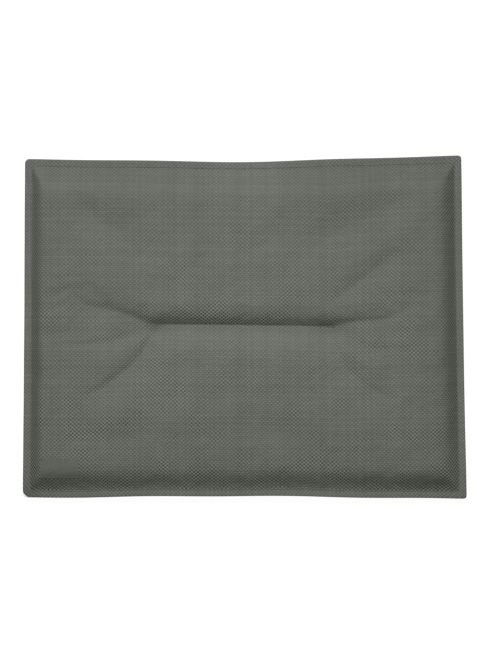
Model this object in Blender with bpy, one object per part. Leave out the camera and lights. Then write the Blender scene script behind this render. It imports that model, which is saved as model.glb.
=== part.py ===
"""Outdoor kneeling pad, modelled at rest on its underside.

Two panels of coated mesh are sewn together inside out, turned, and stitched again round a flat
flange. They hold a foam core between two layers of wadding, and one short seam across the middle
draws both panels together through the padding.

Metres, +Z up. X runs along the pad's width and Y along its depth. The origin is the middle of
the underside, at the height of the surface that the pad rests on.
"""

import math
from functools import partial

import bmesh
import bpy
from mathutils import Vector

# Driving dimensions of the pad.
WIDTH = 0.382
DEPTH = 0.294
CROWN_HEIGHT = 0.020
FLANGE_HEIGHT = 0.0085  # the middle of the flange above the floor
CORNER_RADIUS = 0.006

# Fabric, thread, and the clearance kept between neighbouring pieces.
FABRIC = 0.0007
GAP = 0.0003
THREAD_RADIUS = 0.0003
CLOSING_THREAD_RADIUS = 0.00015

# Edge of the pad, as distances in from the outline.
STITCH_INSET = 0.006
ALLOWANCE_INSET = 0.0095  # raw edge of the fabric that is turned in
PADDING_INSET = 0.012
EDGE_INSETS = (0.0068, 0.009, PADDING_INSET, 0.017, 0.025, 0.036)
ROUNDING = 0.4  # how fast the corner radius grows with the inset

# Middle seam, sewn through the whole pad.
SEAM_LENGTH = 0.158
SEAM_Y = 0.0035
SEAM_TOP = 0.0105
SEAM_BOTTOM = 0.0045
VALLEY_DISTANCES = (0.0007, 0.003, 0.007, 0.013, 0.022)
SEAM_ROUNDNESS = 0.8  # corner radius of the outlines round the seam, as a share of the distance

# Padding between the panels.
WADDING_SHARE = 0.2  # of the height between the panels, for each of the two layers
SWELL_POWER = 2.3

# Label patch on the front left corner.
LABEL_WIDTH = 0.033
LABEL_DEPTH = 0.017
LABEL_THICKNESS = 0.0004
LABEL_CENTRE = (-0.158, -0.121)
LABEL_CELL = 0.002

# Points along each outline.
CORNER_STEPS = 4
LONG_STEPS = 5
SHORT_STEPS = 4
FOLD_STEPS = 4

FOLD_RADIUS = FABRIC + GAP / 2
FOLD_MIDDLE = FOLD_RADIUS + GAP / 2  # from the middle of the flange to the middle of one fold
FLANGE_HALF = FOLD_MIDDLE + FOLD_RADIUS

COLOURS = {
    "mesh_fabric": ((0.135, 0.142, 0.123), 0.75),
    "foam": ((0.55, 0.53, 0.42), 0.95),
    "wadding": ((0.80, 0.80, 0.78), 0.95),
    "thread": ((0.100, 0.106, 0.092), 0.60),
    "label": ((0.120, 0.127, 0.110), 0.55),
}


def clear_scene():
    for obj in list(bpy.data.objects):
        bpy.data.objects.remove(obj)


def material(name):
    """The Principled material of this name, made once."""
    made = bpy.data.materials.get(name)
    if made:
        return made
    colour, roughness = COLOURS[name]
    made = bpy.data.materials.new(name)
    made.use_nodes = True
    shader = made.node_tree.nodes["Principled BSDF"]
    shader.inputs["Base Color"].default_value = (*colour, 1.0)
    shader.inputs["Roughness"].default_value = roughness
    shader.inputs["Metallic"].default_value = 0.0
    return made


def add_object(name, data, slot):
    data.materials.append(material(slot))
    obj = bpy.data.objects.new(name, data)
    bpy.context.scene.collection.objects.link(obj)
    return obj


def outline(half_x, half_y, radius, z, centre_y=0.0):
    """Points round a rounded rectangle, always the same number in the same order."""
    arcs = []
    for quarter, (sign_x, sign_y) in enumerate(((1, 1), (-1, 1), (-1, -1), (1, -1))):
        middle = Vector((sign_x * (half_x - radius), centre_y + sign_y * (half_y - radius), z))
        arc = []
        for step in range(CORNER_STEPS + 1):
            angle = math.pi / 2 * (quarter + step / CORNER_STEPS)
            arc.append(middle + radius * Vector((math.cos(angle), math.sin(angle), 0.0)))
        arcs.append(arc)

    points = []
    for quarter, arc in enumerate(arcs):
        following = arcs[(quarter + 1) % len(arcs)][0]
        side_steps = SHORT_STEPS if quarter % 2 else LONG_STEPS
        points += arc
        points += [arc[-1].lerp(following, k / side_steps) for k in range(1, side_steps)]
    return points


def edge_outline(inset, z):
    """The pad's outline, drawn in by this much."""
    return outline(WIDTH / 2 - inset, DEPTH / 2 - inset, CORNER_RADIUS + ROUNDING * inset, z)


def seam_outline(distance, z):
    """The outline at this distance round the middle seam."""
    radius = SEAM_ROUNDNESS * distance
    return outline(SEAM_LENGTH / 2 + distance, distance, radius, z, SEAM_Y)


def swollen(share, top, bottom):
    """Upper and lower height of the pad, from a seam (share 0) to where it levels out (1)."""
    full = 1 - (1 - share) ** SWELL_POWER
    return top + (CROWN_HEIGHT - top) * full, bottom * (1 - full)


def profile(outermost):
    """From the middle seam to the edge: the outline at each place, and the pad's two heights."""
    places = []
    first, last = VALLEY_DISTANCES[0], VALLEY_DISTANCES[-1]
    for distance in VALLEY_DISTANCES:
        share = (distance - first) / (last - first)
        upper, lower = swollen(share, SEAM_TOP, SEAM_BOTTOM)
        places.append((partial(seam_outline, distance), upper, lower))
    first, last = EDGE_INSETS[0], EDGE_INSETS[-1]
    for inset in reversed(EDGE_INSETS):
        if inset < outermost:
            continue
        share = (inset - first) / (last - first)
        upper, lower = swollen(share, FLANGE_HEIGHT + FLANGE_HALF, FLANGE_HEIGHT - FLANGE_HALF)
        places.append((partial(edge_outline, inset), upper, lower))
    return places


def add_solid(name, outlines, slot):
    """One closed solid: a band joins each outline to the next, and the two ends are filled."""
    mesh = bmesh.new()
    rings = [[mesh.verts.new(point) for point in points] for points in outlines]
    for ring, following in zip(rings, rings[1:]):
        for i, vert in enumerate(ring):
            j = (i + 1) % len(ring)
            mesh.faces.new((vert, ring[j], following[j]))
            mesh.faces.new((vert, following[j], following[i]))
    mesh.faces.new(rings[0])
    mesh.faces.new(rings[-1])
    bmesh.ops.recalc_face_normals(mesh, faces=mesh.faces)
    data = bpy.data.meshes.new(name)
    mesh.to_mesh(data)
    mesh.free()
    data.shade_smooth()
    data.set_sharp_from_angle(angle=math.radians(40))
    return add_object(name, data, slot)


def fold(radius, side):
    """The fabric's half turn at the pad's edge, from the outside of the flange to its inside."""
    middle = FLANGE_HEIGHT + side * FOLD_MIDDLE
    outlines = []
    for step in range(FOLD_STEPS + 1):
        angle = math.pi * (0.5 - step / FOLD_STEPS)
        inset = FOLD_RADIUS - radius * math.cos(angle)
        outlines.append(edge_outline(inset, middle + side * radius * math.sin(angle)))
    return outlines


def cover(name, side):
    """The upper (side 1) or lower (side -1) panel, turned in underneath itself at the edge."""
    outside = []
    inside = []
    for outline_at, upper, lower in profile(outermost=0.0):
        z = upper if side > 0 else lower
        outside.append(outline_at(z))
        inside.append(outline_at(z - side * FABRIC))
    raw_edge = [
        edge_outline(ALLOWANCE_INSET, FLANGE_HEIGHT + side * GAP / 2),
        edge_outline(ALLOWANCE_INSET, FLANGE_HEIGHT + side * (GAP / 2 + FABRIC)),
    ]
    outer_turn = fold(FOLD_RADIUS, side)
    inner_turn = fold(GAP / 2, side)
    return add_solid(
        name, outside + outer_turn + raw_edge + inner_turn[::-1] + inside[::-1], "mesh_fabric"
    )


def padding(name, low, high, slot):
    """The layer between these two shares of the height between the panels."""
    above = []
    below = []
    for outline_at, upper, lower in profile(PADDING_INSET):
        floor = lower + FABRIC + GAP
        room = upper - FABRIC - GAP - floor
        below.append(outline_at(floor + low * room + (GAP / 2 if low > 0 else 0)))
        above.append(outline_at(floor + high * room - (GAP / 2 if high < 1 else 0)))
    add_solid(name, above + below[::-1], slot)


def thread(name, points, radius, closed):
    """A line of stitches as one plain cord along these points."""
    curve = bpy.data.curves.new(name, "CURVE")
    curve.dimensions = "3D"
    curve.bevel_depth = radius
    curve.bevel_resolution = 2
    curve.use_fill_caps = not closed
    spline = curve.splines.new("POLY")
    spline.points.add(len(points) - 1)
    for knot, point in zip(spline.points, points):
        knot.co = (*point, 1.0)
    spline.use_cyclic_u = closed
    add_object(name, curve, "thread")


def threads():
    """Needle thread above and bobbin thread below each seam, and the seam that joins the folds."""
    clear = GAP + THREAD_RADIUS
    above_flange = edge_outline(STITCH_INSET, FLANGE_HEIGHT + FLANGE_HALF + clear)
    below_flange = edge_outline(STITCH_INSET, FLANGE_HEIGHT - FLANGE_HALF - clear)
    thread("edge_needle_thread", above_flange, THREAD_RADIUS, closed=True)
    thread("edge_bobbin_thread", below_flange, THREAD_RADIUS, closed=True)

    for name, z in (
        ("centre_needle_thread", SEAM_TOP + clear),
        ("centre_bobbin_thread", SEAM_BOTTOM - clear),
    ):
        ends = [Vector((side * SEAM_LENGTH / 2, SEAM_Y, z)) for side in (-1, 1)]
        thread(name, ends, THREAD_RADIUS, closed=False)

    between_folds = edge_outline(CLOSING_THREAD_RADIUS, FLANGE_HEIGHT)
    thread("closing_seam_thread", between_folds, CLOSING_THREAD_RADIUS, closed=True)


def label_patch(panel):
    """A thin blank patch that follows the slope of the panel just above it."""
    mesh = bmesh.new()
    bmesh.ops.create_grid(
        mesh,
        x_segments=round(LABEL_WIDTH / LABEL_CELL),
        y_segments=round(LABEL_DEPTH / LABEL_CELL),
        size=0.5,
    )
    down = Vector((0.0, 0.0, -1.0))
    for vert in mesh.verts:
        x = LABEL_CENTRE[0] + vert.co.x * LABEL_WIDTH
        y = LABEL_CENTRE[1] + vert.co.y * LABEL_DEPTH
        _, place, _, _ = panel.ray_cast(Vector((x, y, 2 * CROWN_HEIGHT)), down)
        vert.co = place - GAP * down
    data = bpy.data.meshes.new("label_patch")
    mesh.to_mesh(data)
    mesh.free()
    patch = add_object("label_patch", data, "label")
    thickness = patch.modifiers.new("thickness", "SOLIDIFY")
    thickness.thickness = LABEL_THICKNESS
    thickness.offset = 1.0


def build():
    clear_scene()
    top_cover = cover("top_cover", side=1)
    cover("bottom_cover", side=-1)
    padding("bottom_wadding", 0.0, WADDING_SHARE, "wadding")
    padding("foam_core", WADDING_SHARE, 1.0 - WADDING_SHARE, "foam")
    padding("top_wadding", 1.0 - WADDING_SHARE, 1.0, "wadding")
    threads()
    bpy.context.view_layer.update()
    label_patch(top_cover)


build()
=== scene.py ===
"""The looks of the kneeling pad: two panels of woven mesh, sewn round soft padding.

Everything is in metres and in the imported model's own frame. A place on a panel is named by its
flat coordinates u and v, measured from the panel's middle before the seams pull it in. The same
place has a world x, y and z once the pad is sewn and stuffed.
"""

import math

import bpy
import numpy as np
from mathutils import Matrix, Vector


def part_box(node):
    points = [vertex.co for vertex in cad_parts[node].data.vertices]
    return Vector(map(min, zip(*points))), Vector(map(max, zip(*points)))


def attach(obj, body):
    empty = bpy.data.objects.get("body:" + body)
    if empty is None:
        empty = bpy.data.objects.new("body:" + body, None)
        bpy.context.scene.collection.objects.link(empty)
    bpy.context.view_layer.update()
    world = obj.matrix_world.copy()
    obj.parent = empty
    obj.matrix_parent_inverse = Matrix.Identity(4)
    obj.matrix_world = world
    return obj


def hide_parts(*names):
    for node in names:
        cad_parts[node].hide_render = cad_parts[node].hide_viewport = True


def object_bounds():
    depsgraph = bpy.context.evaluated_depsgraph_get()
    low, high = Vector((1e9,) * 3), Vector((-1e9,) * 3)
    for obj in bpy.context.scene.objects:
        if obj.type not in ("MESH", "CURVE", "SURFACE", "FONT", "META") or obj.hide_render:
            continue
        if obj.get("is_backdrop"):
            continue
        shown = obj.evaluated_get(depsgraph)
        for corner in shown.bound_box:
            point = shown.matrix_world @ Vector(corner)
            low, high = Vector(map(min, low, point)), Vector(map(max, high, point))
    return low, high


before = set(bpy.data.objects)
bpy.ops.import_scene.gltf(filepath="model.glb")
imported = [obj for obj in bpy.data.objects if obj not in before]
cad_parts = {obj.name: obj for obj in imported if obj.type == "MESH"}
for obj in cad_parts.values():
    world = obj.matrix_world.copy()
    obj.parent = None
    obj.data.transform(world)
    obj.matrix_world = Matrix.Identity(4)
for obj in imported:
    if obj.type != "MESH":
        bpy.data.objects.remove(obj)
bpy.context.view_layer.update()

# ---------------------------------------------------------------- measures

# Fabric and thread.
CLOTH = 0.0005
FOLD_RADIUS = 0.0007
WARP_PITCH = 0.00173
WEFT_PITCH = 0.00158
THREAD_RADIUS = 0.00020
CLOSING_THREAD_RADIUS = 0.00013
STITCH = 0.0028
STITCH_STEPS = 6
STITCH_LIFTS = (-0.00028, 0.00002, 0.00014, 0.00018, 0.00014, 0.00002)  # hole first, then the arch
STITCH_SLANT = 0.00008
BACKTACK = 0.008  # the middle seam is sewn twice over at both ends
BACKTACK_ASIDE = 2.4  # thread radii between its two lines
CORNER_STEPS = 6  # of each stitch line's quarter turns
EDGE_CORNER = 0.0045  # radius of the edge stitches' line at the pad's corners
CLOSING_CORNER = 0.0040
CLOSING_SWING = 0.00045  # how far the closing zigzag swings to each side

# The panels' outline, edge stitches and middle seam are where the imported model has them.
cover_low, cover_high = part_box("top_cover")
HALF_X = cover_high.x
HALF_Y = cover_high.y
FLANGE_Z = (cover_low.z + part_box("bottom_cover")[1].z) / 2
edge_low, edge_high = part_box("edge_needle_thread")
EDGE_THREAD_RADIUS = (edge_high.z - edge_low.z) / 2
STITCH_INSET = HALF_X - edge_high.x + EDGE_THREAD_RADIUS
seam_low, seam_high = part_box("centre_needle_thread")
SEAM_HALF = seam_high.x
SEAM_Y = (seam_low.y + seam_high.y) / 2
label_low, label_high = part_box("label_patch")

PLY_GAP = 0.0001  # between the two folded edges
FLANGE_HALF = 2 * FOLD_RADIUS + PLY_GAP / 2
ALLOWANCE = 0.0088  # how far the folded edge reaches back inside
HEM_STEPS = 5  # of the half turn at the fold
HEM_LINES = (0.0025, 0.0050, ALLOWANCE)

# The padding's height, and how it swells on its way in from a seam: in a rounded foot, then a
# steep flank of this length (left, right, front, back), then slowly.
CROWN_Z = 0.0211
UPPER_FLANKS = (0.0115, 0.0150, 0.0178, 0.0320)
UPPER_FEET = (0.0012, 0.0008, 0.0030, 0.0020)
LOWER_FLANKS = (0.0090, 0.0090, 0.0100, 0.0100)
LOWER_FEET = (0.0010, 0.0010, 0.0010, 0.0010)
BACK_SHORTER = 0.55  # how much shorter the back flank gets towards its corners
STEEP_SHARE = 0.90
SLOW_REACH = 0.030
SQUARENESS = 4.5  # how far the swelling keeps its corners square

# How much lower the flange hangs at the middle of each edge (left, right, front, back), how much
# more of it there is towards the front, and how far the flange waves.
DROOPS = (0.0026, 0.0027, -0.0024, -0.0011)
DROOP_TILT = 0.5
FLANGE_WAVE = 0.0004

# Unevenness of the padding under each panel, and how hard the lower panel is pressed flat.
UPPER_UNEVEN = 0.00030
LOWER_UNEVEN = 0.0002
LOWER_PRESSED = 1.12

# Small ripples that the stitches gather: height, shortest and longest length, how far inside the
# edge stitches they are highest, and how far they reach there and beside the middle seam.
PUCKER = 0.00012
PUCKER_LENGTHS = (0.006, 0.012)
PUCKER_INSET = 0.003
PUCKER_REACH = 0.004
SEAM_PUCKER_REACH = 0.006

# The middle seam pulls the padding down into a valley, steep behind the seam and rounder in
# front of it, with a narrow groove at the stitches.
SEAM_DEPTH = 0.0074
SEAM_BEHIND = 0.0105
SEAM_IN_FRONT = 0.0148
SEAM_ROUNDNESS = 0.95
SEAM_FADE = 0.6  # how much shallower the valley gets at the seam's ends
SEAM_NARROWING = 0.20  # and how much narrower behind the seam
GROOVE_DEPTH = 0.0003
GROOVE_REACH = 0.0014
UNDER_SEAM = 0.0045
SEAM_DRIFT = 0.0024  # the seam runs this much nearer to the front at its right end
SEAM_DRIFT_BEND = 1.6  # and most of that on its right half
SEAM_DRAWN_IN = 0.0026  # and its left end is drawn in by this much
DRIFT_REACH = 0.038

# The sewn outline isn't a true rectangle: where its corners really are, against the flat
# panel's, and how far each edge is drawn in at its middle.
CORNER_SHIFTS = {
    "front_left": (-0.0003, 0.0004),
    "front_right": (0.0019, -0.0006),
    "back_left": (0.0017, -0.0007),
    "back_right": (-0.0028, 0.0024),
}
CORNER_RADII = {
    "front_left": 0.0075,
    "front_right": 0.0035,
    "back_left": 0.0045,
    "back_right": 0.0035,
}
SAGS = {"left": 0.0000, "right": 0.0002, "front": 0.0022, "back": 0.0038}

# The front and back edges ripple a little: how far, over what length, and where one crest is.
FRONT_RIPPLE = (0.0003, 0.121, -0.085)
BACK_RIPPLE = (0.0004, 0.146, 0.073)

# The foam's edge shows through the upper panel as a faint line, this far in from each edge, because
# the panel dips inside it. The shares of the dip: everywhere, added at the back, and at the sides.
FOAM_INSETS = (0.038, 0.046, 0.044, 0.0245)
FOAM_DIP = 0.0014
FOAM_DIP_SHARES = (0.55, 0.30, 0.35)
FOAM_DIP_REACH = 0.011

# Folds that the panel makes: flat places along each one from its deep end, its width, its depth,
# and how sharply it is creased. A negative depth is a ridge. The first nine run out from the ends
# of the middle seam, four on its left and five on its right.
FOLDS = (
    (((-0.0790, 0.0034), (-0.0946, 0.0086), (-0.1071, 0.0134), (-0.1266, 0.0180), (-0.1500, 0.0390)),
     0.0105, 0.0056, 1.0),
    (((-0.0800, -0.0030), (-0.0859, -0.0163), (-0.1041, -0.0375), (-0.1420, -0.0610)),
     0.0074, 0.0050, 1.0),
    (((-0.0970, -0.0075), (-0.1260, -0.0120), (-0.1570, -0.0150)),
     0.0085, 0.0028, 1.0),
    (((-0.0880, -0.0070), (-0.1075, -0.0190), (-0.1320, -0.0330)),
     0.0062, -0.0006, 0.0),
    (((0.0745, 0.0035), (0.0868, 0.0054), (0.1100, 0.0074), (0.1318, 0.0108), (0.1450, 0.0330)),
     0.0090, 0.0046, 1.0),
    (((0.0833, 0.0300), (0.1015, 0.0420), (0.1274, 0.0608), (0.1450, 0.0740)),
     0.0085, 0.0027, 0.7),
    (((0.0772, -0.0041), (0.0842, -0.0270), (0.1041, -0.0486), (0.1352, -0.0639)),
     0.0098, 0.0037, 1.0),
    (((0.0963, -0.0104), (0.1200, -0.0183), (0.1500, -0.0180)),
     0.0095, 0.0022, 1.0),
    (((0.0860, -0.0165), (0.1060, -0.0298), (0.1290, -0.0400)),
     0.0060, -0.0006, 0.0),
    (((-0.1480, 0.1080), (-0.1165, 0.0860), (-0.0860, 0.0590)),
     0.0130, 0.0026, 0.0),
    (((0.1400, 0.1090), (0.0905, 0.0908), (0.0500, 0.0640)),
     0.0130, 0.0028, 0.0),
    (((0.0100, -0.0860), (0.0400, -0.0990), (0.0700, -0.1100)),
     0.0150, 0.0014, 0.0),
    (((-0.1300, -0.0900), (-0.1000, -0.1000), (-0.0700, -0.1080)),
     0.0150, 0.0014, 0.0),
)
FOLD_SOFTENING = 0.4  # the larger this is, the further from the stitches folds and dips end
FOLD_WIDENING = 0.35  # how much wider a fold gets along its length
FOLD_FADE = 0.25  # how much shallower it gets, before it runs out
FOLD_START = 0.6  # its share of its depth where it starts
FOLD_START_REACH = 0.15  # the share of its length over which it reaches its full depth
CREASE_REACH = 1.15  # of a crease's steep back, as a share of the fold's width
CREASE_FRONT_REACH = 1.8  # and of its gentle front

# Padding inside the covers.
PADDING_INSET = 0.0125
WADDING_SHARE = 0.2
COVER_CLEARANCE = 0.0012
LAYER_GAP = 0.0003
PADDING_CELL = 0.004

# Label patch.
LABEL_RADIUS = 0.0015
LABEL_CLEARANCE = 0.00004
LABEL_THICKNESS = 0.00030
LABEL_PRESSED = 0.00022
LABEL_RIM_INSET = 0.0004
LABEL_RIM_WIDTH = 0.0005
LABEL_RIM_ROUNDING = 0.15  # how much thinner the patch is at its very edge
LABEL_SHARP_ANGLE = math.radians(50)
LABEL_CELL = 0.0006

# Cloth simulation of the upper panel: how many cells its coarse grid has, how much the cloth is
# cut larger than the guide shape, how firmly the padding holds it, and the most it may move. The
# cloth is held beside the stitches, and its moves count from a little further in.
SETTLE_CELLS = (104, 80)
SETTLE_FRAMES = 18
SETTLE_EASE = 0.006
SETTLE_HOLD = 0.25
SETTLE_PRESSURE = 1.5
SETTLE_CAP = 0.0015
HELD_BESIDE_EDGE = 0.002
HELD_BESIDE_SEAM = 0.003
FREE_BEYOND = 0.001
FREE_REACH = 0.004
SETTLE_DIGITS = 5  # the moves are rounded to 0.01 mm

# Grid of each panel.
CELL = 0.00185
EDGE_LINES = (FOLD_RADIUS, 0.0022, 0.0038, 0.0052, 0.0060, 0.0068, 0.0078, 0.0090, 0.0105, 0.0122)
SEAM_LINES = (0.0005, 0.0013, 0.0024)
DOUBLED_BLUR = 0.001  # how soft the doubled flange's inner edge looks

# Painted shade on the fabric, which darkens its colour by the stitches, the seam, the back, the
# front-left flange and the front corners: how much of it, and how far it reaches.
PAINTED_SHADE_AT_EDGE_REACH = 0.0070
PAINTED_SHADE_TOWARDS_EDGE = 0.78
PAINTED_SHADE_TOWARDS_EDGE_REACH = 0.075
PAINTED_SHADE_AT_SEAM = 0.35
PAINTED_SHADE_AT_SEAM_REACH = 0.012
PAINTED_SHADE_AT_BACK = 1.1
PAINTED_SHADE_AT_BACK_REACH = 0.050
PAINTED_SHADE_ON_FLANGE = 0.7
PAINTED_SHADE_IN_CORNERS = 1.2
PAINTED_SHADE_IN_CORNERS_REACH = 0.016
PAINTED_SHADE_IN_LEFT_CORNER = 0.5  # more of it in the left one, and less in the right one
LESS_SHADE_BACK_LEFT = 0.85
LESS_SHADE_TOWARDS_EDGE = 0.7  # of that, for the painted shade that reaches far in
PAINTED_SHADE_DARKENS = 0.14

# Look of the woven fabric. Its height runs from the bottom of a hole to the top of a strand. Each
# noise has a scale and a detail, and each kind of tone differs by the share given.
FABRIC_COLOUR = (0.1243, 0.1320, 0.1122)
YARN_DRIFT = 1.6  # how many yarns the weave wanders by
DRIFT_NOISE = (26.0, 3.0)
YARN_TONES = 0.10
UNEVEN_NOISE = (60.0, 4.0)
UNEVEN_TONES = 0.16
GRAIN_NOISE = (900.0, 2.0)
GRAIN_TONES = 0.50
ROUGHNESS = (0.16, 0.56)  # how much the grain adds, and to what
SPECULAR = 0.18
SHEEN = 0.02
SHEEN_ROUGHNESS = 0.5
HOLE_SHARPNESS = 1.2
STRAND_SHARPNESS = 0.5
HOLE_DEPTH = 0.6
STRAND_HEIGHT = 0.3
GROUND_HEIGHT = 0.7
MEAN_HEIGHT = 0.68
RIB_HEIGHT = 0.15
BUMP_DEPTH = 0.0004
PATCH_NOISE = (38.0, 1.0)
PATCH_EDGES = (4.0, -1.5)  # how sharply patches with holes and patches with ribs part, and where
HOLES_SHOW = 1.30  # in patches where the holes show most
RIBS_SHOW = 0.05
FEWER_HOLES = 0.70  # and the change in patches where the ribs show most
MORE_RIBS = 0.45
# Painted shade in the holes: they are painted darker towards the front and on slopes that face front
# or sideways, away from the light behind. The doubled flange shows fewer holes.
HOLE_CONTRAST = 0.74  # how much of it shows in the middle of the pad, and the change per metre
HOLE_CONTRAST_TO_FRONT = 2.0
HOLE_CONTRAST_AT_BACK = (18.0, -1.70)  # the back edge's own rise per metre, and where it starts
DOUBLED_LESS = 0.45
TILT_TO_FRONT = 2.0
TILT_SIDEWAYS = 1.8
CONTRAST_LIMITS = (0.75, 1.45)

# Looks of the other materials: colour, roughness, the grain's scale and depth, and how much its
# tones differ.
PLAIN_LOOKS = {
    "thread": ((0.130, 0.138, 0.117), 0.60, 2500.0, 0.00008, 0.40),
    "label": ((0.104, 0.111, 0.094), 0.60, 1300.0, 0.00016, 1.60),
    "foam": ((0.55, 0.53, 0.42), 0.95, 900.0, 0.0004, 0.40),
    "wadding": ((0.80, 0.80, 0.78), 0.95, 500.0, 0.0005, 0.16),
}
PLAIN_DETAIL = 5.0
PLAIN_SPECULAR = 0.2

# Studio and camera.
COVE_SIZE = 6.0
COVE_Z = -0.0002
COVE_SHADE = 0.10
COVE_GLOW = 0.96
KEY_PLACE = (-0.12, 1.12, 1.80)
KEY_SIZE = 0.9
KEY_POWER = 50.0
FILL = 0.20
LENS = 100.0
SENSOR = 36.0
VIEW_HEIGHT = 0.566  # of the picture, at the height of the flange
CAMERA_XY = (0.0015, 0.0010)


# ---------------------------------------------------------------- shape of the pad


def swell(distance, flank, foot):
    """How far stuffed fabric has risen at this distance from a seam, from 0 to nearly 1."""
    inside = np.maximum(distance, 0.0)
    along = (np.hypot(inside, foot) - foot) / flank
    steep = along / (1 + along**4) ** 0.25
    slow = 1 - np.exp(-inside / SLOW_REACH)
    return STEEP_SHARE * steep + (1 - STEEP_SHARE) * slow


def per_side(values, u, v):
    """Blends four values, for the left, right, front and back edge, by how near each edge is."""
    left, right, front, back = values
    a = np.clip(u / HALF_X, -1.0, 1.0)
    b = np.clip(v / HALF_Y, -1.0, 1.0)
    across = (left * (1 - a) + right * (1 + a)) / 2 * a**4
    along = (front * (1 - b) + back * (1 + b)) / 2 * b**4
    return (across + along) / np.maximum(a**4 + b**4, 1e-6)


def puffed(u, v, flanks, feet):
    """How far the padding has risen between the four stitched edges, 1 in the middle."""
    stitched_u = HALF_X - STITCH_INSET
    stitched_v = HALF_Y - STITCH_INSET

    def share(a, b):
        distances = (stitched_u + a, stitched_u - a, stitched_v + b, stitched_v - b)
        left, right, front, back = flanks
        back = back * (1 - BACK_SHORTER * (a / HALF_X) ** 6)
        sides = [swell(*side) for side in zip(distances, (left, right, front, back), feet)]
        total = sum(np.maximum(side, 1e-4) ** -SQUARENESS for side in sides)
        return total ** (-1 / SQUARENESS)

    return share(u, v) / share(0.0, 0.0)


def from_seam(u, v):
    """Distance to the middle seam."""
    beyond = np.maximum(np.abs(u) - SEAM_HALF, 0.0)
    return np.hypot(beyond, v - SEAM_Y)


def along_seam(u):
    """Distance from the middle of the seam, as a share of its half length."""
    return np.minimum(np.abs(u) / SEAM_HALF, 1.0)


def seam_pull(u):
    """How hard the middle seam pulls the padding in, from 1 at its middle. It fades at its ends."""
    return 1 - SEAM_FADE * along_seam(u) ** 8


def seam_valley(u, v):
    """How deep the middle seam pulls the padding in, from 1 at the seam's middle to 0."""
    distance = from_seam(u, v)
    in_front = 0.5 - 0.5 * (v - SEAM_Y) / np.maximum(distance, 1e-9)
    behind = SEAM_BEHIND * (1 - SEAM_NARROWING * along_seam(u) ** 6)
    sharp = 1 - np.tanh(distance / behind)
    soft = np.exp(-((distance / SEAM_IN_FRONT) ** 2))
    return seam_pull(u) * (sharp + (soft - sharp) * SEAM_ROUNDNESS * in_front)


def curved(points, steps=16):
    """Places along the smooth curve through these points."""
    points = np.array(points)
    reach = np.concatenate([[0.0], np.cumsum(np.linalg.norm(np.diff(points, axis=0), axis=1))])
    places = np.linspace(0.0, reach[-1], steps + 1)
    curves = [np.polyfit(reach, axis, len(points) - 1) for axis in points.T]
    return np.stack([np.polyval(curve, places) for curve in curves], axis=-1)


def fold(u, v, points, width, depth, crease):
    """Height of a fold: a valley along a curve, creased steeply behind, that fades to its end."""
    line = curved(points)
    nearest = np.full(np.shape(u), np.inf)
    share = np.zeros(np.shape(u))
    behind = np.zeros(np.shape(u))
    for step, (start, end) in enumerate(zip(line, line[1:])):
        run = end - start
        along = ((u - start[0]) * run[0] + (v - start[1]) * run[1]) / (run @ run)
        along = np.clip(along, 0.0, 1.0)
        away_u = u - start[0] - along * run[0]
        away_v = v - start[1] - along * run[1]
        distance = np.hypot(away_u, away_v)
        closer = distance < nearest
        nearest = np.where(closer, distance, nearest)
        share = np.where(closer, (step + along) / (len(line) - 1), share)
        behind = np.where(closer, 0.5 + 0.5 * away_v / np.maximum(distance, 1e-9), behind)
    started = FOLD_START + (1 - FOLD_START) * np.minimum(share / FOLD_START_REACH, 1.0)
    fade = (1 - share**3) * (1 - FOLD_FADE * share) * started
    spread = width * (1 + FOLD_WIDENING * share)
    valley = np.exp(-((nearest / spread) ** 2))
    creased = 1 - np.tanh(nearest / (CREASE_REACH * spread))
    wide = np.exp(-((nearest / (CREASE_FRONT_REACH * spread)) ** 2))
    valley = valley + crease * (wide + (creased - wide) * behind - valley)
    return -depth * fade * valley


def waves(u, v, seed, shortest, longest, count=14):
    """Gentle unevenness, about -1 to 1, from waves of random direction and length."""
    random = np.random.default_rng(seed)
    total = np.zeros(np.shape(u))
    for _ in range(count):
        length = random.uniform(shortest, longest)
        heading = random.uniform(0.0, math.pi)
        start = random.uniform(0.0, 2 * math.pi)
        place = u * math.cos(heading) + v * math.sin(heading)
        total = total + np.sin(2 * math.pi * place / length + start)
    return total / math.sqrt(count)


def foam_dip(u, v):
    """The upper panel sinks a little inside the foam's edge, most of all at the back corners."""
    left, right, front, back = FOAM_INSETS
    inside = np.minimum(
        np.minimum(HALF_X - left + u, HALF_X - right - u),
        np.minimum(HALF_Y - front + v, HALF_Y - back - v),
    )
    everywhere, at_back, at_sides = FOAM_DIP_SHARES
    depth = FOAM_DIP * (everywhere + at_back * v / HALF_Y + at_sides * (u / HALF_X) ** 2)
    return -depth * (1 - np.exp(-np.maximum(inside, 0.0) / FOAM_DIP_REACH))


def inset_of(u, v):
    """Distance in from the outline."""
    return np.minimum(HALF_X - np.abs(u), HALF_Y - np.abs(v))


def flange_height(u, v):
    """Middle of the flange: it waves a little, hangs along the sides and arches at the front."""
    a = np.minimum((u / HALF_X) ** 2, 1.0)
    b = np.minimum((v / HALF_Y) ** 2, 1.0)
    hang = per_side(DROOPS, u, v) * (1 - np.minimum(a, b) ** 2) * (1 - DROOP_TILT * v / HALF_Y)
    return FLANGE_Z + FLANGE_WAVE * waves(u, v, 4, 0.05, 0.14) - hang


def pucker(u, v):
    """Small ripples that the stitches gather along the edge and along the middle seam."""
    inside_stitches = inset_of(u, v) - STITCH_INSET - PUCKER_INSET
    at_edge = np.exp(-((inside_stitches / PUCKER_REACH) ** 2))
    at_seam = np.exp(-from_seam(u, v) / SEAM_PUCKER_REACH)
    return PUCKER * waves(u, v, 8, *PUCKER_LENGTHS, count=10) * (at_edge + at_seam)


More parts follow.
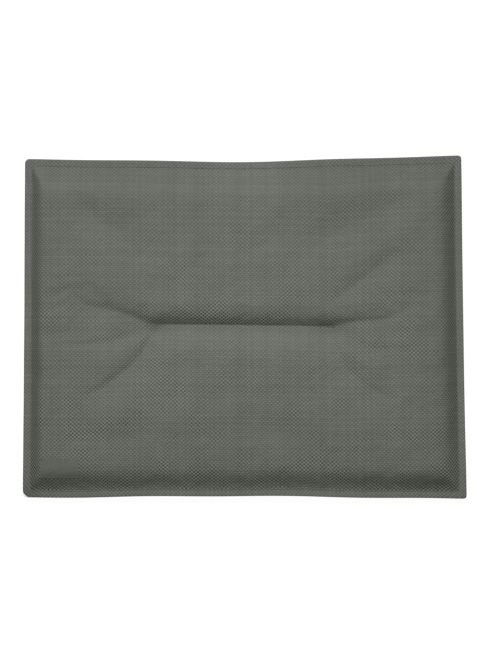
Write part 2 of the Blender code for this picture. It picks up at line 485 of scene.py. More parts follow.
def upper_height(u, v):
    """Height of the upper panel's outside."""
    share = puffed(u, v, UPPER_FLANKS, UPPER_FEET)
    flange_top = flange_height(u, v) + FLANGE_HALF
    height = flange_top + (CROWN_Z - flange_top) * share - SEAM_DEPTH * seam_valley(u, v)
    height = height - GROOVE_DEPTH * seam_pull(u) * np.exp(-from_seam(u, v) / GROOVE_REACH)
    soft = np.clip(share * (1 + FOLD_SOFTENING) - FOLD_SOFTENING, 0.0, 1.0)
    for points, width, depth, crease in FOLDS:
        height = height + soft * fold(u, v, points, width, depth, crease)
    height = height + soft * (foam_dip(u, v) + UPPER_UNEVEN * waves(u, v, 1, 0.030, 0.085))
    return height + pucker(u, v)


def lower_height(u, v):
    """Height of the lower panel's outside, which lies flat where it rests on the floor."""
    share = puffed(u, v, LOWER_FLANKS, LOWER_FEET)
    hang = flange_height(u, v) - FLANGE_HALF
    height = hang * (1 - LOWER_PRESSED * share)
    height = height + LOWER_UNEVEN * waves(u, v, 3, 0.03, 0.08) * share
    height = height + UNDER_SEAM * seam_valley(u, v)
    return np.maximum(height + pucker(u, v), 0.0)


def rounded(u, v):
    """Moves flat places in the square corners onto rounded ones."""
    for name, radius in CORNER_RADII.items():
        sign_u = 1 if "right" in name else -1
        sign_v = 1 if "back" in name else -1
        past_u = (sign_u * u - HALF_X + radius) / radius
        past_v = (sign_v * v - HALF_Y + radius) / radius
        in_corner = (past_u > 0) & (past_v > 0)
        longer = np.maximum(past_u, past_v)
        shrink = np.where(in_corner, longer / np.maximum(np.hypot(past_u, past_v), 1e-9), 1.0)
        u = np.where(in_corner, sign_u * (HALF_X - radius + radius * past_u * shrink), u)
        v = np.where(in_corner, sign_v * (HALF_Y - radius + radius * past_v * shrink), v)
    return u, v


def ripple(u, size, length, crest):
    """An even wave along an edge."""
    return size * np.cos(2 * math.pi * (u - crest) / length)


def sewn(u, v):
    """World x and y of flat places, with the outline drawn in by the seams."""
    a = u / HALF_X
    b = v / HALF_Y
    x = u.copy()
    y = v.copy()
    for name, (shift_x, shift_y) in CORNER_SHIFTS.items():
        share_a = (1 + a) / 2 if "right" in name else (1 - a) / 2
        share_b = (1 + b) / 2 if "back" in name else (1 - b) / 2
        x += shift_x * share_a * share_b
        y += shift_y * share_a * share_b
    level_a = (1 - np.minimum(a * a, 1.0)) ** 2
    level_b = (1 - np.minimum(b * b, 1.0)) ** 2
    x += level_b * (SAGS["left"] * ((1 - a) / 2) ** 3 - SAGS["right"] * ((1 + a) / 2) ** 3)
    y += level_a * (SAGS["front"] * ((1 - b) / 2) ** 3 - SAGS["back"] * ((1 + b) / 2) ** 3)
    y += ripple(u, *FRONT_RIPPLE) * ((1 - b) / 2) ** 3
    y += ripple(u, *BACK_RIPPLE) * ((1 + b) / 2) ** 3
    to_right = np.clip((u / SEAM_HALF + 1) / 2, 0.0, 1.0)
    y -= SEAM_DRIFT * to_right**SEAM_DRIFT_BEND * np.exp(-((from_seam(u, v) / DRIFT_REACH) ** 2))
    from_left_end = np.hypot(u + SEAM_HALF, v - SEAM_Y)
    x += SEAM_DRAWN_IN * np.exp(-((from_left_end / DRIFT_REACH) ** 2))
    return x, y


def guide_points(u, v, side):
    """World places on the outside of the upper (side 1) or lower (side -1) panel, not settled."""
    x, y = sewn(u, v)
    z = upper_height(u, v) if side > 0 else lower_height(u, v)
    return np.stack([x, y, z], axis=-1)


def between(moves, u, v):
    """Smooth values between those of a coarse grid over the panel: a cubic B-spline each way."""
    rows, columns, _ = moves.shape
    total = 0.0
    place_u = (u / HALF_X + 1) / 2 * (columns - 1)
    place_v = (v / HALF_Y + 1) / 2 * (rows - 1)
    column = np.floor(place_u).astype(int)
    row = np.floor(place_v).astype(int)

    def weights(t):
        return (
            (1 - t) ** 3 / 6,
            (3 * t**3 - 6 * t**2 + 4) / 6,
            (-3 * t**3 + 3 * t**2 + 3 * t + 1) / 6,
            t**3 / 6,
        )

    for down, weight_v in zip((-1, 0, 1, 2), weights(place_v - row)):
        for along, weight_u in zip((-1, 0, 1, 2), weights(place_u - column)):
            near = moves[np.clip(row + down, 0, rows - 1), np.clip(column + along, 0, columns - 1)]
            total = total + (weight_u * weight_v)[..., None] * near
    return total


def panel_points(u, v, side):
    """World places on the outside of the upper (side 1) or lower (side -1) panel."""
    u = np.asarray(u, dtype=float)
    v = np.asarray(v, dtype=float)
    points = guide_points(u, v, side)
    if side > 0 and SETTLED is not None:
        inside_stitches = inset_of(u, v) - STITCH_INSET
        free = np.clip((inside_stitches - FREE_BEYOND) / FREE_REACH, 0.0, 1.0)
        free = free * np.clip((from_seam(u, v) - FREE_BEYOND) / FREE_REACH, 0.0, 1.0)
        points = points + free[..., None] * between(SETTLED, u, v)
    return points


def settled():
    """How far simulated cloth settles from the upper panel's guide shape, on a coarse grid."""
    columns, rows = SETTLE_CELLS
    u_lines = np.linspace(-HALF_X, HALF_X, columns + 1)
    v_lines = np.linspace(-HALF_Y, HALF_Y, rows + 1)
    u, v = np.meshgrid(u_lines, v_lines)
    start = guide_points(u, v, 1).reshape(-1, 3)
    data = bpy.data.meshes.new("settling")
    data.from_pydata(start.tolist(), [], grid_faces(*u.shape))
    piece = bpy.data.objects.new("settling", data)
    scene = bpy.context.scene
    scene.collection.objects.link(piece)
    sewn_down = inset_of(u, v) < STITCH_INSET + HELD_BESIDE_EDGE
    sewn_down |= from_seam(u, v) < HELD_BESIDE_SEAM
    group = piece.vertex_groups.new(name="held")
    for index, weight in enumerate(np.where(sewn_down, 1.0, SETTLE_HOLD).ravel()):
        group.add([index], float(weight), "REPLACE")

    settings = piece.modifiers.new("settling", "CLOTH").settings
    settings.quality = 6
    settings.mass = 0.2
    settings.tension_stiffness = 20.0
    settings.compression_stiffness = 20.0
    settings.shear_stiffness = 8.0
    settings.bending_stiffness = 0.3
    settings.vertex_group_mass = "held"
    settings.use_pressure = True
    settings.uniform_pressure_force = SETTLE_PRESSURE
    settings.shrink_min = -SETTLE_EASE
    settings.effector_weights.gravity = 0.0
    for number in range(1, SETTLE_FRAMES + 1):
        scene.frame_set(number)
    result = piece.evaluated_get(bpy.context.evaluated_depsgraph_get())
    moved = np.empty(len(start) * 3)
    result.data.vertices.foreach_get("co", moved)
    moves = moved.reshape(-1, 3) - start
    length = np.linalg.norm(moves, axis=1, keepdims=True)
    moves = moves * np.minimum(1.0, SETTLE_CAP / np.maximum(length, 1e-9))
    bpy.data.objects.remove(piece)
    bpy.data.meshes.remove(data)
    scene.frame_set(1)
    return np.round(moves, SETTLE_DIGITS).reshape(rows + 1, columns + 1, 3)


# ---------------------------------------------------------------- meshes


def fill_in(places, cell=CELL):
    """These places, with even steps of at most one cell between them."""
    lines = [places[0]]
    for start, end in zip(places, places[1:]):
        steps = max(1, math.ceil((end - start) / cell - 1e-6))
        lines.extend(np.linspace(start, end, steps + 1)[1:])
    return np.array(lines)


def beside_seam():
    """Grid lines close together across the middle seam."""
    steps = np.array(SEAM_LINES)
    return [*(SEAM_Y - steps[::-1]), SEAM_Y, *(SEAM_Y + steps)]


def panel_grid():
    """Flat coordinates of the panel's grid, closest together along the edges and the seam."""
    edge = np.array(EDGE_LINES)
    u_lines = fill_in([*(edge - HALF_X), 0.0, *(HALF_X - edge[::-1])])
    v_lines = fill_in([*(edge - HALF_Y), *beside_seam(), *(HALF_Y - edge[::-1])])
    return rounded(*np.meshgrid(u_lines, v_lines))


def ring_of(rows, columns):
    """Indices of a grid's outer points, anticlockwise from its first corner."""
    last_row = (rows - 1) * columns
    front = list(range(columns))
    right = [row * columns + columns - 1 for row in range(1, rows)]
    back = [last_row + column for column in range(columns - 2, -1, -1)]
    left = [row * columns for row in range(rows - 2, 0, -1)]
    return front + right + back + left


def grid_faces(rows, columns):
    faces = []
    for row in range(rows - 1):
        for column in range(columns - 1):
            first = row * columns + column
            faces.append((first, first + 1, first + columns + 1, first + columns))
    return faces


def band_faces(ring, following):
    """Faces that join a ring of points to the next ring out."""
    count = len(ring)
    return [
        (ring[i], following[i], following[(i + 1) % count], ring[(i + 1) % count])
        for i in range(count)
    ]


def make_mesh(name, points, faces, slot, uvs=None, shades=None):
    """A smooth piece with this material, cloth coordinates and shades at its points."""
    data = bpy.data.meshes.new(name)
    data.from_pydata(np.asarray(points).tolist(), [], faces)
    if uvs is not None:
        cloth = data.uv_layers.new(name="cloth")
        corners = np.empty(len(data.loops), dtype=np.int32)
        data.loops.foreach_get("vertex_index", corners)
        cloth.data.foreach_set("uv", np.asarray(uvs, dtype=np.float32)[corners].ravel())
    for shade, values in (shades or {}).items():
        attribute = data.attributes.new(shade, "FLOAT", "POINT")
        attribute.data.foreach_set("value", np.asarray(values, dtype=np.float32))
    data.shade_smooth()
    data.materials.append(MATERIALS[slot])
    piece = bpy.data.objects.new(name, data)
    bpy.context.scene.collection.objects.link(piece)
    return piece


def stand_for(piece, *nodes):
    """The piece rides with the pad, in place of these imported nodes."""
    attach(piece, "root")
    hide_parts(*nodes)


def cloth_coordinates(points, u, v):
    """Distances along the sewn cloth from its middle column and from its seam row."""
    across = np.linalg.norm(np.diff(points, axis=1), axis=2)
    along = np.linalg.norm(np.diff(points, axis=0), axis=2)
    reach_u = np.concatenate([np.zeros((len(points), 1)), np.cumsum(across, axis=1)], axis=1)
    reach_v = np.concatenate([np.zeros((1, points.shape[1])), np.cumsum(along, axis=0)], axis=0)
    middle = int(np.argmin(np.abs(u[len(u) // 2])))
    seam = int(np.argmin(np.abs(v[:, v.shape[1] // 2] - SEAM_Y)))
    return np.stack([reach_u - reach_u[:, [middle]], reach_v - reach_v[[seam]]], axis=-1)


def rim_rings(side):
    """(inset, height from the flange's middle, cloth length so far) of each ring of the hem."""
    rings = []
    for step in range(1, HEM_STEPS + 1):
        angle = math.pi * step / HEM_STEPS
        height = side * (FLANGE_HALF - FOLD_RADIUS * (1 - math.cos(angle)))
        rings.append((FOLD_RADIUS * (1 - math.sin(angle)), height, FOLD_RADIUS * angle))
    inner = side * (FLANGE_HALF - 2 * FOLD_RADIUS)
    half_turn = FOLD_RADIUS * math.pi
    for inset in HEM_LINES:
        rings.append((inset, inner, half_turn + inset - FOLD_RADIUS))
    return rings


def painted_shade_mask(u, v):
    """How much painted shade darkens the fabric: most inside the stitches, along the back and in
    front corners.
    """
    inset = inset_of(u, v) - STITCH_INSET
    from_left = (1 + u / HALF_X) / 2
    from_front = (1 + v / HALF_Y) / 2
    less_shade = LESS_SHADE_BACK_LEFT * (1 - from_left) * from_front
    at_edge = (1 - less_shade) * np.exp(-((inset / PAINTED_SHADE_AT_EDGE_REACH) ** 2))
    towards_edge = np.exp(-((inset / PAINTED_SHADE_TOWARDS_EDGE_REACH) ** 2))
    towards_edge *= PAINTED_SHADE_TOWARDS_EDGE * (1 - LESS_SHADE_TOWARDS_EDGE * less_shade)
    at_seam = PAINTED_SHADE_AT_SEAM * np.exp(-from_seam(u, v) / PAINTED_SHADE_AT_SEAM_REACH)
    stitch_shade = np.maximum(np.maximum(at_edge, towards_edge), at_seam)
    on_flange = PAINTED_SHADE_ON_FLANGE * (1 - from_left) ** 3 * (1 - from_front)
    at_back = 1 - np.exp(-((u / PAINTED_SHADE_AT_BACK_REACH) ** 2))
    at_back = PAINTED_SHADE_AT_BACK * at_back * np.exp(-(HALF_Y - v) / PAINTED_SHADE_AT_BACK_REACH)
    from_corner = np.hypot(HALF_X - np.abs(u), HALF_Y + v)
    in_corner = np.exp(-((from_corner / PAINTED_SHADE_IN_CORNERS_REACH) ** 2))
    in_corner *= PAINTED_SHADE_IN_CORNERS - PAINTED_SHADE_IN_LEFT_CORNER * u / HALF_X
    return np.where(inset > 0, stitch_shade, on_flange) + at_back + in_corner


def cover(name, side):
    """A panel of mesh, folded back inside itself at the edge."""
    u, v = panel_grid()
    rows, columns = u.shape
    points = panel_points(u, v, side)
    uvs = cloth_coordinates(points, u, v).reshape(-1, 2)
    faces = grid_faces(rows, columns)
    all_points = [points.reshape(-1, 3)]
    all_uvs = [uvs]
    ring = ring_of(rows, columns)
    edge_u = u.ravel()[ring]
    edge_v = v.ravel()[ring]
    edge_height = points[..., 2].ravel()[ring] - side * FLANGE_HALF
    outward = np.stack([edge_u / HALF_X, edge_v / HALF_Y], axis=-1)
    start = rows * columns
    for inset, height, length in rim_rings(side):
        move = FOLD_RADIUS - inset
        ring_u = edge_u * (1 + move / HALF_X)
        ring_v = edge_v * (1 + move / HALF_Y)
        x, y = sewn(ring_u, ring_v)
        all_points.append(np.stack([x, y, edge_height + height], axis=-1))
        all_uvs.append(uvs[ring_of(rows, columns)] + outward * length)
        following = list(range(start, start + len(ring)))
        faces += band_faces(ring, following)
        ring = following
        start += len(ring)
    if side < 0:
        faces = [face[::-1] for face in faces]
    points = np.concatenate(all_points)
    # Painted shade: a mask that darkens the fabric's colour by the stitches, the seam, the back and
    # the corners.
    painted_shade = np.zeros(len(points))
    painted_shade[: rows * columns] = painted_shade_mask(u, v).ravel()
    doubled = np.ones(len(points))
    outside_stitches = STITCH_INSET + DOUBLED_BLUR / 2 - inset_of(u, v)
    doubled[: rows * columns] = np.clip(outside_stitches / DOUBLED_BLUR, 0.0, 1.0).ravel()
    shades = {"painted_shade": painted_shade, "doubled": doubled}
    piece = make_mesh(name, points, faces, "mesh_fabric", np.concatenate(all_uvs), shades)
    thickness = piece.modifiers.new("thickness", "SOLIDIFY")
    thickness.thickness = CLOTH
    thickness.offset = -1.0
    return piece


def slab(name, below, above, slot):
    """A closed piece between two grids of points."""
    rows, columns, _ = below.shape
    count = rows * columns
    ring = ring_of(rows, columns)
    faces = grid_faces(rows, columns)
    faces = [[point + count for point in face] for face in faces] + [face[::-1] for face in faces]
    faces += band_faces([point + count for point in ring], ring)
    points = np.concatenate([below.reshape(-1, 3), above.reshape(-1, 3)])
    return make_mesh(name, points, faces, slot)


def layer(name, low, high, slot):
    """A sheet of padding between these two shares of the room inside the covers."""
    reach_u = HALF_X - PADDING_INSET
    reach_v = HALF_Y - PADDING_INSET
    u_lines = np.linspace(-reach_u, reach_u, round(2 * reach_u / PADDING_CELL) + 1)
    v_lines = fill_in([-reach_v, *beside_seam(), reach_v], PADDING_CELL)
    u, v = np.meshgrid(u_lines, v_lines)
    clear = np.array([0.0, 0.0, COVER_CLEARANCE])
    floor = panel_points(u, v, -1) + clear
    room = panel_points(u, v, 1) - clear - floor
    slit = np.array([0.0, 0.0, LAYER_GAP / 2])
    below = floor + low * room + (slit if low > 0 else 0)
    above = floor + high * room - (slit if high < 1 else 0)
    return slab(name, below, above, slot)


# ---------------------------------------------------------------- threads


def evenly(line, step, closed):
    """Places along a flat line, evenly spaced and about one step apart."""
    line = np.array(line)
    if closed:
        line = np.concatenate([line, line[:1]])
    reach = np.concatenate([[0.0], np.cumsum(np.linalg.norm(np.diff(line, axis=0), axis=1))])
    count = round(reach[-1] / (step * STITCH_STEPS)) * STITCH_STEPS
    places = np.linspace(0.0, reach[-1], count + 1)
    if closed:
        places = places[:-1]
    return np.stack([np.interp(places, reach, line[:, axis]) for axis in (0, 1)], axis=-1)


def edge_line(inset, radius):
    """A rounded rectangle of flat places, this far in from the outline."""
    half_u = HALF_X - inset - radius
    half_v = HALF_Y - inset - radius
    line = []
    for quarter, (sign_u, sign_v) in enumerate(((1, 1), (-1, 1), (-1, -1), (1, -1))):
        for step in range(CORNER_STEPS + 1):
            angle = math.pi / 2 * (quarter + step / CORNER_STEPS)
            corner_u = sign_u * half_u + radius * math.cos(angle)
            corner_v = sign_v * half_v + radius * math.sin(angle)
            line.append((corner_u, corner_v))
    return line


def seam_line():
    """The middle seam's flat route: a backtack at its left end, across, and one at its right."""
    second = SEAM_Y - BACKTACK_ASIDE * THREAD_RADIUS
    return [
        (BACKTACK - SEAM_HALF, second),
        (-SEAM_HALF, second),
        (-SEAM_HALF, SEAM_Y),
        (SEAM_HALF, SEAM_Y),
        (SEAM_HALF, second),
        (SEAM_HALF - BACKTACK, second),
    ]


def stitched(line, side, closed):
    """The world line of a thread that arches over each stitch and dips into the hole after it."""
    flat = evenly(line, STITCH / STITCH_STEPS, closed)
    phase = np.arange(len(flat)) % STITCH_STEPS
    ahead = np.gradient(flat, axis=0)
    ahead /= np.maximum(np.linalg.norm(ahead, axis=1, keepdims=True), 1e-9)
    slant = np.where(phase == 0, 0.0, STITCH_SLANT * (2 * phase / STITCH_STEPS - 1))
    flat = flat + slant[:, None] * np.stack([-ahead[:, 1], ahead[:, 0]], axis=-1)
    points = panel_points(flat[:, 0], flat[:, 1], side)
    points[:, 2] += side * (np.array(STITCH_LIFTS)[phase] + THREAD_RADIUS)
    return points


def tube(name, points, radius, closed, sides=6):
    """A round thread along these points, with its length and its girth as its cloth coordinates."""
    count = len(points)
    if closed:
        run = np.roll(points, -1, axis=0) - np.roll(points, 1, axis=0)
    else:
        run = np.gradient(points, axis=0)
    run /= np.linalg.norm(run, axis=1, keepdims=True)
    across = np.cross(run, [0.0, 0.0, 1.0])
    across /= np.linalg.norm(across, axis=1, keepdims=True)
    up = np.cross(across, run)
    steps = np.linalg.norm(np.diff(points, axis=0), axis=1)
    reach = np.concatenate([[0.0], np.cumsum(steps)])
    rings = []
    uvs = []
    for side in range(sides):
        angle = 2 * math.pi * side / sides
        rings.append(points + radius * (math.cos(angle) * across + math.sin(angle) * up))
        uvs.append(np.stack([np.full(count, radius * angle), reach], axis=-1))
    faces = []
    for side in range(sides):
        following = (side + 1) % sides
        for i in range(count if closed else count - 1):
            j = (i + 1) % count
            near = [side * count + i, side * count + j]
            far = [following * count + j, following * count + i]
            faces.append(near + far)
    if not closed:
        faces.append([side * count for side in range(sides)])
        faces.append([side * count + count - 1 for side in range(sides)][::-1])
    return make_mesh(name, np.concatenate(rings), faces, "thread", np.concatenate(uvs))


def closing_line():
    """The first seam, a small zigzag between the two folded edges."""
    route = edge_line(CLOSING_THREAD_RADIUS, CLOSING_CORNER)
    flat = evenly(route, STITCH / STITCH_STEPS, closed=True)
    x, y = sewn(flat[:, 0], flat[:, 1])
    swing = CLOSING_SWING * np.sin(2 * math.pi * np.arange(len(flat)) / STITCH_STEPS)
    return np.stack([x, y, flange_height(flat[:, 0], flat[:, 1]) + swing], axis=-1)


# ---------------------------------------------------------------- label


def label_patch():
    """A blank pressed patch with round corners and a raised rim, laid on the upper panel."""
    half_u = (label_high.x - label_low.x) / 2
    half_v = (label_high.y - label_low.y) / 2
    columns = round(2 * half_u / LABEL_CELL) + 1
    rows = round(2 * half_v / LABEL_CELL) + 1
    s, t = np.meshgrid(np.linspace(-1, 1, columns), np.linspace(-1, 1, rows))
    a = s * half_u
    b = t * half_v
    past_a = np.maximum(np.abs(a) - half_u + LABEL_RADIUS, 0.0)
    past_b = np.maximum(np.abs(b) - half_v + LABEL_RADIUS, 0.0)
    outer = np.maximum(past_a, past_b)
    shrink = np.where(outer > 0, outer / np.maximum(np.hypot(past_a, past_b), 1e-9), 1.0)
    a = np.sign(a) * (np.abs(a) - past_a + past_a * shrink)
    b = np.sign(b) * (np.abs(b) - past_b + past_b * shrink)
    to_edge = np.minimum(half_u - np.abs(s) * half_u, half_v - np.abs(t) * half_v)
    outside = np.clip(to_edge / LABEL_RIM_INSET, 0.0, 1.0)
    inside = np.clip((to_edge - LABEL_RIM_INSET) / LABEL_RIM_WIDTH, 0.0, 1.0)
    rim = LABEL_THICKNESS * (1 - LABEL_RIM_ROUNDING * (1 - outside))
    height = rim - LABEL_PRESSED * inside * inside * (3 - 2 * inside)
    u = (label_low.x + label_high.x) / 2 + a
    v = (label_low.y + label_high.y) / 2 + b
    under = panel_points(u, v, 1)
    under[..., 2] += LABEL_CLEARANCE
    over = under.copy()
    over[..., 2] += height
    piece = slab("label_patch_pressed", under, over, "label")
    piece.data.set_sharp_from_angle(angle=LABEL_SHARP_ANGLE)
    return piece


# ---------------------------------------------------------------- materials


class Tree:
    """A new node material, its shader, and short ways to add nodes to it."""

    def __init__(self, name):
        self.material = bpy.data.materials.new(name)
        self.material.use_nodes = True
        self.nodes = self.material.node_tree.nodes
        self.links = self.material.node_tree.links
        self.shader = self.nodes["Principled BSDF"]
        self.place = self.nodes.new("ShaderNodeTexCoord").outputs["Object"]

    def add(self, kind, source=None):
        """A node of this kind, with its first input linked to the source."""
        node = self.nodes.new(kind)
        if source is not None:
            self.links.new(source, node.inputs[0])
        return node

    def attribute(self, name):
        node = self.add("ShaderNodeAttribute")
        node.attribute_name = name
        return node.outputs["Fac"]

    def math(self, operation, *values, clamp=False):
        """The result of this operation on numbers and other nodes' results."""
        node = self.add("ShaderNodeMath")
        node.operation = operation
        node.use_clamp = clamp
        for socket, value in zip(node.inputs, values):
            if isinstance(value, (int, float)):
                socket.default_value = value
            else:
                self.links.new(value, socket)
        return node.outputs[0]

    def noise(self, scale, detail):
        """Soft noise that stays in its place on the piece."""
        node = self.add("ShaderNodeTexNoise", self.place)
        node.inputs["Scale"].default_value = scale
        node.inputs["Detail"].default_value = detail
        return node

    def tone(self, value, spread):
        """A factor about 1 that rises by the spread in all, as the value goes from 0 to 1."""
        return self.math("MULTIPLY_ADD", value, spread, 1 - spread / 2)

    def colour(self, base, tone):
        """The shader's colour: the base times this tone."""
        node = self.add("ShaderNodeVectorMath")
        node.operation = "SCALE"
        node.inputs[0].default_value = base
        self.links.new(tone, node.inputs["Scale"])
        self.links.new(node.outputs[0], self.shader.inputs["Base Color"])

    def bump(self, height, depth):
        node = self.add("ShaderNodeBump")
        node.inputs["Strength"].default_value = 1.0
        node.inputs["Distance"].default_value = depth
        self.links.new(height, node.inputs["Height"])
        self.links.new(node.outputs[0], self.shader.inputs["Normal"])


def yarn_counts(tree):
    """The yarns of the warp and of the weft, counted across the cloth. Both wander a little."""
    uv = tree.add("ShaderNodeUVMap")
    uv.uv_map = "cloth"
    flat = tree.add("ShaderNodeSeparateXYZ", uv.outputs[0])
    drift = tree.add("ShaderNodeSeparateColor", tree.noise(*DRIFT_NOISE).outputs["Color"])
    counts = []
    for axis, pitch in enumerate((WARP_PITCH, WEFT_PITCH)):
        wander = tree.math("MULTIPLY", drift.outputs[axis], YARN_DRIFT)
        counts.append(tree.math("ADD", tree.math("DIVIDE", flat.outputs[axis], pitch), wander))
    return counts


def yarn_tone(tree, count):
    """Each yarn has a tone of its own."""
    own = tree.add("ShaderNodeTexWhiteNoise")
    own.noise_dimensions = "1D"
    tree.links.new(tree.math("FLOOR", count), own.inputs["W"])
    return tree.tone(own.outputs["Value"], YARN_TONES)


def weave_contrast(tree):
    """How strongly holes show, as painted shade in them: most at the front, and on slopes that face
    front or sideways, away from the light behind.
    """
    place = tree.add("ShaderNodeSeparateXYZ", tree.place)
    facing = tree.add("ShaderNodeSeparateXYZ", tree.add("ShaderNodeNewGeometry").outputs["Normal"])
    to_front = tree.math("MULTIPLY_ADD", place.outputs[1], -HOLE_CONTRAST_TO_FRONT, HOLE_CONTRAST)
    at_back = tree.math("MULTIPLY_ADD", place.outputs[1], *HOLE_CONTRAST_AT_BACK)
    single = tree.math("MULTIPLY_ADD", tree.attribute("doubled"), -DOUBLED_LESS, 1.0)
    hole_contrast = tree.math("MULTIPLY", tree.math("MAXIMUM", to_front, at_back), single)
    sideways = tree.math("ABSOLUTE", facing.outputs[0])
    sideways = tree.math("MULTIPLY_ADD", sideways, TILT_SIDEWAYS, 1.0)
    # Painted shade: holes are painted darker on slopes that face front or sideways.
    tilted = tree.math("MULTIPLY_ADD", facing.outputs[1], -TILT_TO_FRONT, sideways)
    least, most = CONTRAST_LIMITS
    tilted = tree.math("MAXIMUM", tilted, least)
    return tree.math("MINIMUM", tree.math("MULTIPLY", hole_contrast, tilted), most)


def mesh_fabric():
    """Coated mesh: a lattice of small holes and crosswise ribs, with painted shade and an uneven
    tone.
    """
    tree = Tree("mesh_fabric")
    column, row = yarn_counts(tree)
    across = tree.math("SINE", tree.math("MULTIPLY", column, math.pi))
    along = tree.math("SINE", tree.math("MULTIPLY", row, math.pi))
    crossing = tree.math("MULTIPLY", across, along)
    hole = tree.math("POWER", tree.math("MAXIMUM", crossing, 0.0), HOLE_SHARPNESS)
    strand = tree.math("MAXIMUM", tree.math("MULTIPLY", crossing, -1.0), 0.0)
    strand = tree.math("POWER", strand, STRAND_SHARPNESS)
    lattice = tree.math("MULTIPLY_ADD", strand, STRAND_HEIGHT, GROUND_HEIGHT)
    lattice = tree.math("MULTIPLY_ADD", hole, -HOLE_DEPTH, lattice)
    rib = tree.math("SUBTRACT", tree.math("MULTIPLY", along, along), 0.5)
    tree.bump(tree.math("MULTIPLY_ADD", rib, RIB_HEIGHT, lattice), BUMP_DEPTH)

    patches = tree.noise(*PATCH_NOISE).outputs["Fac"]
    ribbed = tree.math("MULTIPLY_ADD", patches, *PATCH_EDGES, clamp=True)
    holes_show = tree.math("MULTIPLY_ADD", ribbed, -FEWER_HOLES, HOLES_SHOW)
    ribs_show = tree.math("MULTIPLY_ADD", ribbed, MORE_RIBS, RIBS_SHOW)
    woven = tree.math("MULTIPLY", tree.math("SUBTRACT", lattice, MEAN_HEIGHT), holes_show)
    woven = tree.math("MULTIPLY_ADD", rib, ribs_show, woven)
    weave = tree.math("MULTIPLY_ADD", woven, weave_contrast(tree), 1.0)
    yarn = tree.math("MULTIPLY", yarn_tone(tree, column), yarn_tone(tree, row))

    grain = tree.noise(*GRAIN_NOISE).outputs["Fac"]
    uneven = tree.tone(tree.noise(*UNEVEN_NOISE).outputs["Fac"], UNEVEN_TONES)
    grainy = tree.tone(grain, GRAIN_TONES)
    # Painted shade: the colour is darkened by the panel's painted shade mask.
    shade_darkening = tree.math("MULTIPLY_ADD", tree.attribute("painted_shade"), -PAINTED_SHADE_DARKENS, 1.0)
    tone = tree.math("MULTIPLY", tree.math("MULTIPLY", uneven, grainy), shade_darkening)
    tree.colour(FABRIC_COLOUR, tree.math("MULTIPLY", tree.math("MULTIPLY", weave, yarn), tone))
    tree.links.new(tree.math("MULTIPLY_ADD", grain, *ROUGHNESS), tree.shader.inputs["Roughness"])
    tree.shader.inputs["Specular IOR Level"].default_value = SPECULAR
    tree.shader.inputs["Sheen Weight"].default_value = SHEEN
    tree.shader.inputs["Sheen Roughness"].default_value = SHEEN_ROUGHNESS
    return tree.material


def plain(name, colour, roughness, scale, depth, spread):
    """A material with a fine grain in its colour and its surface."""
    tree = Tree(name)
    grain = tree.noise(scale, PLAIN_DETAIL).outputs["Fac"]
    tree.colour(colour, tree.tone(grain, spread))
    tree.bump(grain, depth)
    tree.shader.inputs["Roughness"].default_value = roughness
    tree.shader.inputs["Specular IOR Level"].default_value = PLAIN_SPECULAR
    return tree.material


MATERIALS = {"mesh_fabric": mesh_fabric()}
for slot, look in PLAIN_LOOKS.items():
    MATERIALS[slot] = plain(slot, *look)


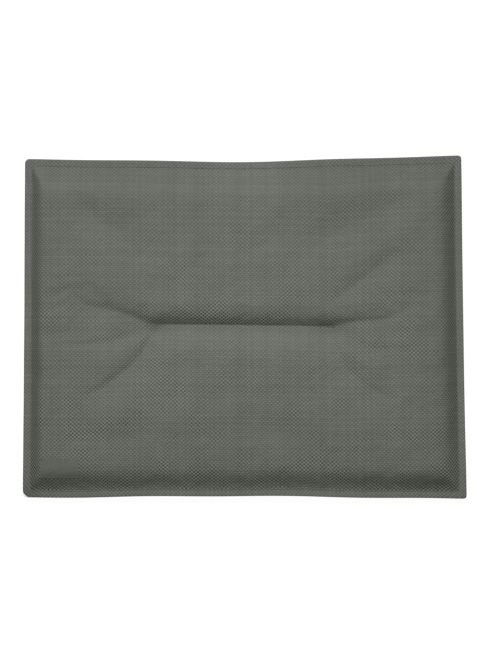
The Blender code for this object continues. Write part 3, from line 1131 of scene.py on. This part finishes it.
def cove():
    """A white floor and walls that glow evenly, and take no part in the pad's own light."""
    corners = [(-1, -1), (1, -1), (1, 1), (-1, 1)]
    bottom = [(COVE_SIZE * x, COVE_SIZE * y, COVE_Z) for x, y in corners]
    top = [(x, y, COVE_SIZE) for x, y, _ in bottom]
    walls = [(i, (i + 1) % 4, (i + 1) % 4 + 4, i + 4) for i in range(4)]
    data = bpy.data.meshes.new("cove")
    data.from_pydata(bottom + top, [], [(0, 1, 2, 3)] + walls)
    piece = bpy.data.objects.new("cove", data)
    bpy.context.scene.collection.objects.link(piece)
    material = bpy.data.materials.new("cove")
    material.use_nodes = True
    shader = material.node_tree.nodes["Principled BSDF"]
    shader.inputs["Base Color"].default_value = (COVE_SHADE, COVE_SHADE, COVE_SHADE, 1.0)
    shader.inputs["Roughness"].default_value = 0.9
    shader.inputs["Emission Color"].default_value = (1.0, 1.0, 1.0, 1.0)
    shader.inputs["Emission Strength"].default_value = COVE_GLOW
    data.materials.append(material)
    piece.visible_diffuse = False
    piece.visible_glossy = False
    piece.visible_shadow = False
    piece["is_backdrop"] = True


def lights():
    """One large soft light from behind, and an even fill all round."""
    data = bpy.data.lights.new("key", "AREA")
    data.shape = "DISK"
    data.size = KEY_SIZE
    data.energy = KEY_POWER
    lamp = bpy.data.objects.new("key", data)
    lamp.location = KEY_PLACE
    aim = Vector((0.0, 0.0, 0.0)) - lamp.location
    lamp.rotation_euler = aim.to_track_quat("-Z", "Y").to_euler()
    bpy.context.scene.collection.objects.link(lamp)

    world = bpy.data.worlds.new("fill")
    world.use_nodes = True
    background = world.node_tree.nodes["Background"]
    background.inputs["Color"].default_value = (1.0, 1.0, 1.0, 1.0)
    background.inputs["Strength"].default_value = FILL
    bpy.context.scene.world = world
    bpy.context.scene.view_settings.view_transform = "Standard"


def camera():
    """Straight above the pad, far enough away that its sides don't show."""
    data = bpy.data.cameras.new("camera")
    data.lens = LENS
    data.sensor_width = SENSOR
    distance = VIEW_HEIGHT * LENS / SENSOR
    piece = bpy.data.objects.new("camera", data)
    piece.location = (*CAMERA_XY, FLANGE_Z + distance)
    bpy.context.scene.collection.objects.link(piece)
    bpy.context.scene.camera = piece


# ---------------------------------------------------------------- the whole pad

cove()
lights()
camera()
SETTLED = settled()

for node, form, low, high, slot, fill in (
    ("top_wadding", "fleece", 1 - WADDING_SHARE, 1.0, "wadding", 0.5),
    ("foam_core", "sheet", WADDING_SHARE, 1 - WADDING_SHARE, "foam", 0.8),
    ("bottom_wadding", "fleece", 0.0, WADDING_SHARE, "wadding", 0.5),
):
    padding = layer(f"{node}_{form}", low, high, slot)
    stand_for(padding, node)

for seam, route, closed in (
    ("edge", edge_line(STITCH_INSET, EDGE_CORNER), True),
    ("centre", seam_line(), False),
):
    for ply, side in (("needle", 1), ("bobbin", -1)):
        thread = tube(
            f"{seam}_{ply}_stitches", stitched(route, side, closed), THREAD_RADIUS, closed
        )
        stand_for(thread, f"{seam}_{ply}_thread")
closing = tube("closing_seam_zigzag", closing_line(), CLOSING_THREAD_RADIUS, closed=True, sides=5)
stand_for(closing, "closing_seam_thread")

label = label_patch()
stand_for(label, "label_patch")

top = cover("top_cover_cloth", 1)
stand_for(top, "top_cover")
bottom = cover("bottom_cover_cloth", -1)
stand_for(bottom, "bottom_cover")

low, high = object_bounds()
